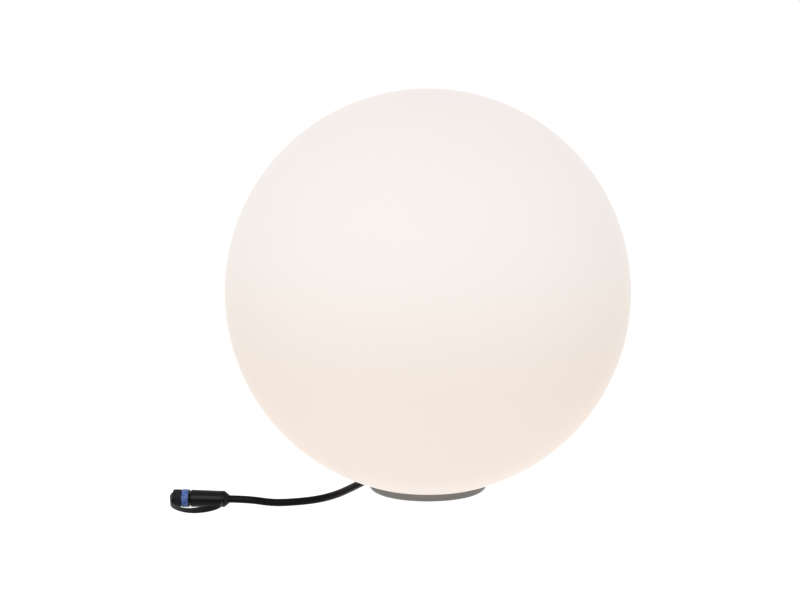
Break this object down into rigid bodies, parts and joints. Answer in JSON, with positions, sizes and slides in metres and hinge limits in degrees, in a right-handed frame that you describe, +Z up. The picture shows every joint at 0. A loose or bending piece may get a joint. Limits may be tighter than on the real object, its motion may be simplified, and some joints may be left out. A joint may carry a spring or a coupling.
{
  "type": "garden_globe_light",
  "caption": "Opal garden globe light on a low grey bayonet foot, with a black cord, plug, blue ring and a ribbed dust cap on a strap.",
  "frame": {"origin": "centre of the foot where it rests on the ground", "axes": "+Z up, +Y to the back, where the cord comes out of the foot, +X to the right seen from the front"},
  "size_m": [0.4507, 0.4, 0.3995],
  "materials": {
    "polyethylene": "satin opal, lit from inside",
    "foot_plastic": "fine moulded texture",
    "seal_rubber": "matt",
    "spreader_aluminium": "stamped sheet",
    "circuit_board": "white solder mask",
    "led_phosphor": "yellow phosphor",
    "cover_plastic": "frosted clear",
    "screw_steel": "bright zinc",
    "ferrite": "sintered grey",
    "capacitor_can": "sleeved can",
    "black_plastic": "moulded",
    "terminal_plastic": "moulded green",
    "wire_insulation": "red sleeve",
    "cord_rubber": "satin sheath",
    "plug_rubber": "satin moulding",
    "contact_brass": "turned",
    "blue_plastic": "moulded blue",
    "cap_plastic": "ribbed",
    "strap_plastic": "flexible moulding"
  },
  "bodies": {
    "foot": {"foot_housing": "foot_plastic", "foot_pads": "seal_rubber", "globe_gasket": "seal_rubber", "barrel_seal": "seal_rubber", "cover_seal": "seal_rubber", "heat_spreader": "spreader_aluminium", "led_board": "circuit_board", "led_chips": "led_phosphor", "lamp_cover": "cover_plastic", "lamp_screws": "screw_steel", "driver_board": "circuit_board", "driver_screws": "screw_steel", "choke": "ferrite", "capacitors": "capacitor_can", "converter_chip": "black_plastic", "terminal_block": "terminal_plastic", "supply_leads": "wire_insulation", "lamp_leads": "wire_insulation", "gland_body": "black_plastic", "gland_seal": "seal_rubber", "gland_nut": "black_plastic", "cord_inlet": "cord_rubber", "cord_clamp": "foot_plastic", "clamp_screws": "screw_steel", "supply_cord": "cord_rubber", "plug_body": "plug_rubber", "contact_carrier": "black_plastic", "contact_pins": "contact_brass", "plug_seal": "seal_rubber", "strap_collar": "strap_plastic", "cap_strap": "strap_plastic"},
    "globe": {"globe_shell": "polyethylene"},
    "nut": {"coupling_nut": "black_plastic", "grip_ring": "blue_plastic"},
    "eye": {"strap_eye": "strap_plastic"},
    "cap": {"dust_cap": "cap_plastic", "cap_sleeve": "black_plastic", "cap_washer": "seal_rubber"}
  },
  "joints": [
    {"name": "globe_twist", "type": "hinge", "parent": "foot", "child": "globe", "pos_m": [0, 0, 0.0155], "axis": [0, 0, 1], "range_deg": [0, 40]},
    {"name": "nut_spin", "type": "hinge", "parent": "foot", "child": "nut", "pos_m": [-0.23467, -0.07413, 0.0087], "axis": [-0.9968, 0.0802, 0], "continuous": true},
    {"name": "cap_travel", "type": "slide", "parent": "foot", "child": "eye", "axis": [-0.9968, 0.0802, 0], "range_m": [0, 0.003], "deforming": ["cap_strap"]},
    {"name": "cap_turn", "type": "hinge", "parent": "eye", "child": "cap", "pos_m": [-0.24762, -0.07309, 0.0087], "axis": [-0.9968, 0.0802, 0], "range_deg": [0, 720]}
  ],
  "couplings": [
    {"joint": "cap_turn", "follows": "cap_travel", "rad_per_m": 4188.8}
  ]
}
